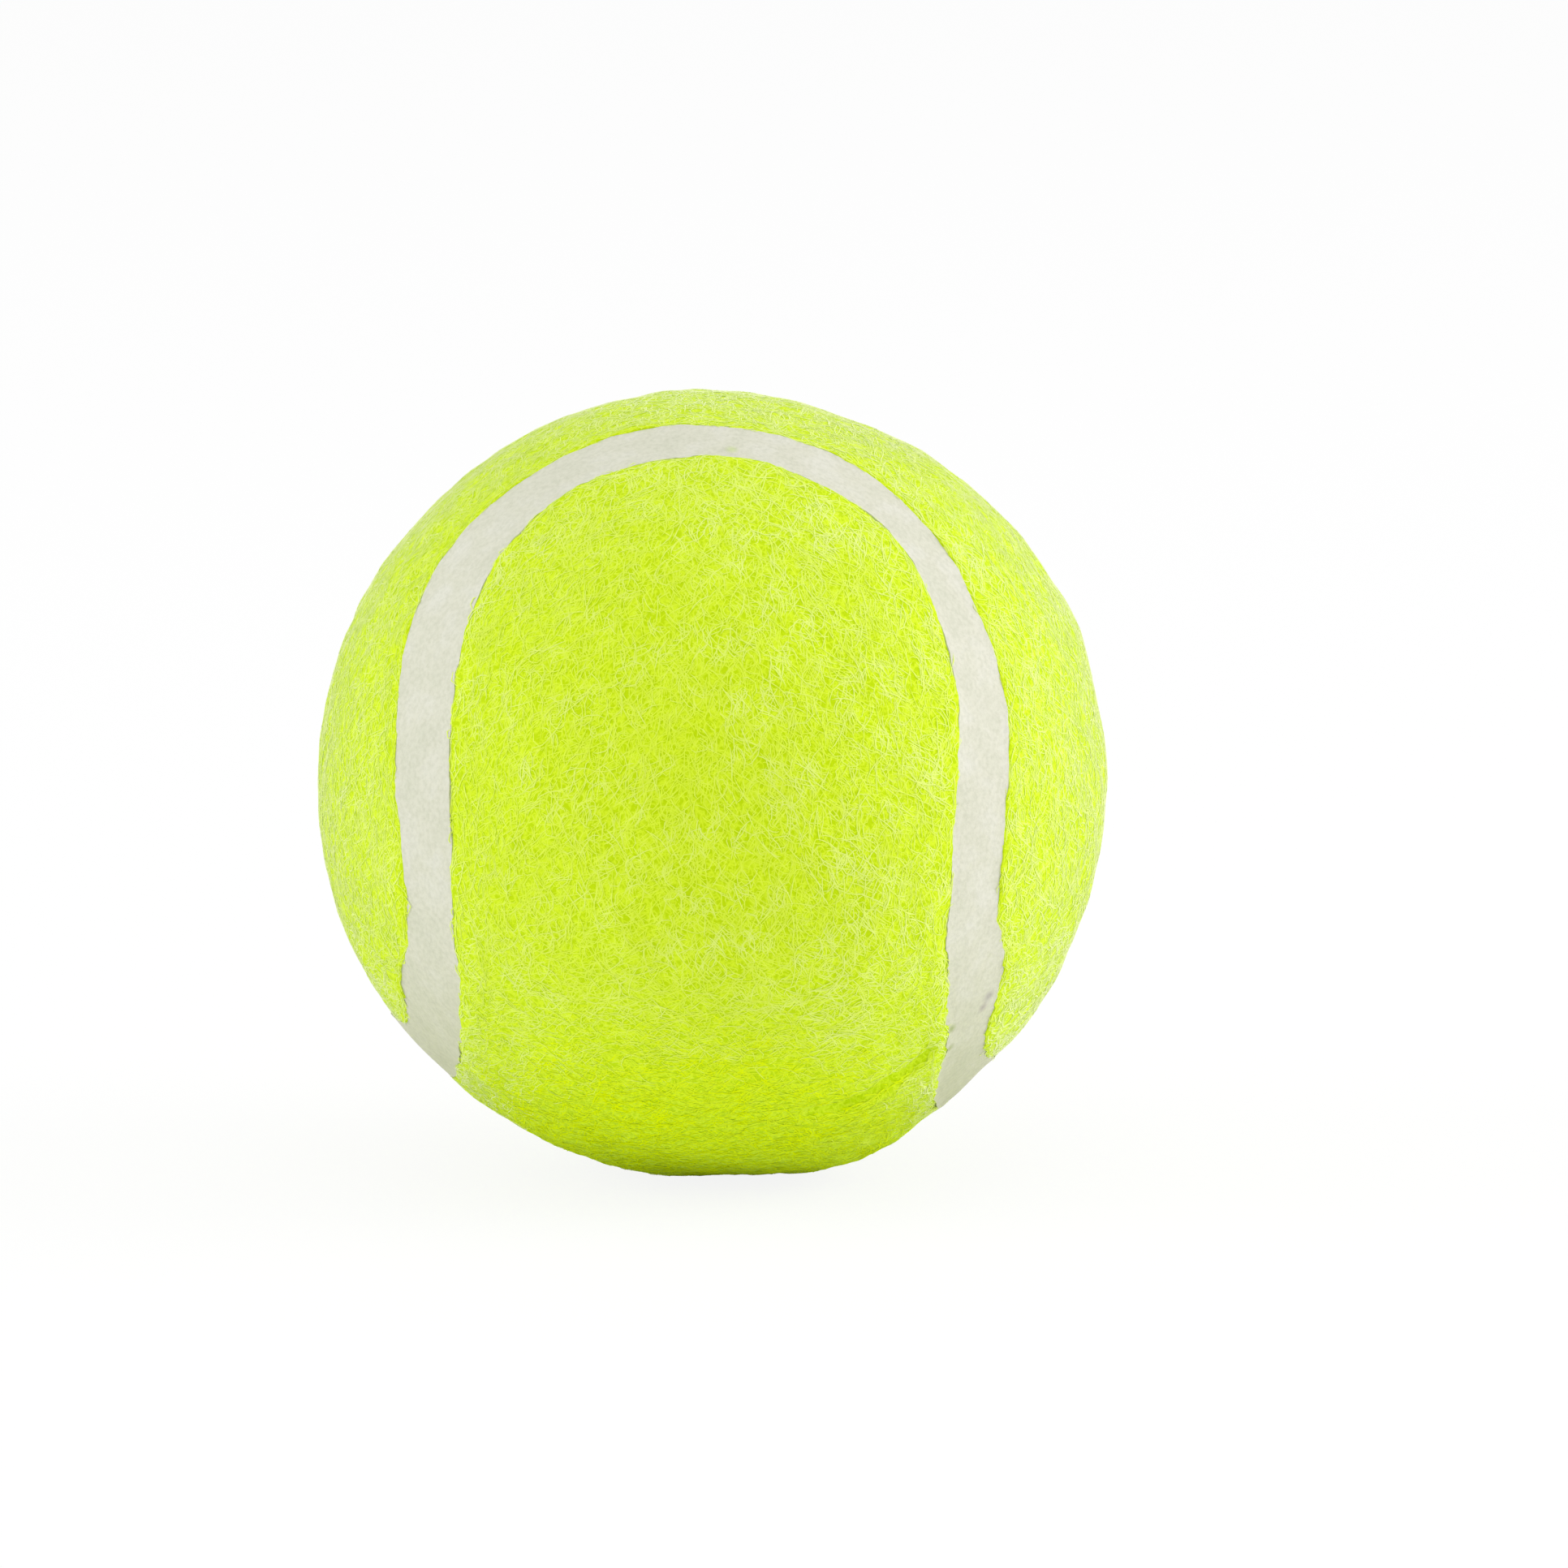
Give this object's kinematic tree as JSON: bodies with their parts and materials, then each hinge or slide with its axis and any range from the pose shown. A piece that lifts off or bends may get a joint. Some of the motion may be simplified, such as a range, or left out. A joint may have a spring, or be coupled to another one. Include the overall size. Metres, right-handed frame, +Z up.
{
  "type": "dog chew ball",
  "caption": "Felt-covered hollow rubber ball for dogs to chew and fetch, with two dumbbell-shaped felt panels joined by a pale rubber seam band.",
  "frame": {"origin": "centre of the ball", "axes": "+Z up as the ball lies; +X along the axis through the two lobes of the side panel; -Y towards the front, where the front panel's lobe faces, leaning up"},
  "size_m": [0.06, 0.06, 0.06],
  "materials": {
    "felt": "matte",
    "woven_backing": "matte",
    "seam_rubber": "matte",
    "core_rubber": "matte",
    "rubber_cement": "satin"
  },
  "bodies": {
    "root": {"core_half_upper": "core_rubber", "core_half_lower": "core_rubber", "core_joint_cement": "rubber_cement", "core_bond_coat": "rubber_cement", "front_panel_backing": "woven_backing", "side_panel_backing": "woven_backing", "front_felt_panel": "felt", "side_felt_panel": "felt", "seam_band": "seam_rubber"}
  },
  "joints": []
}
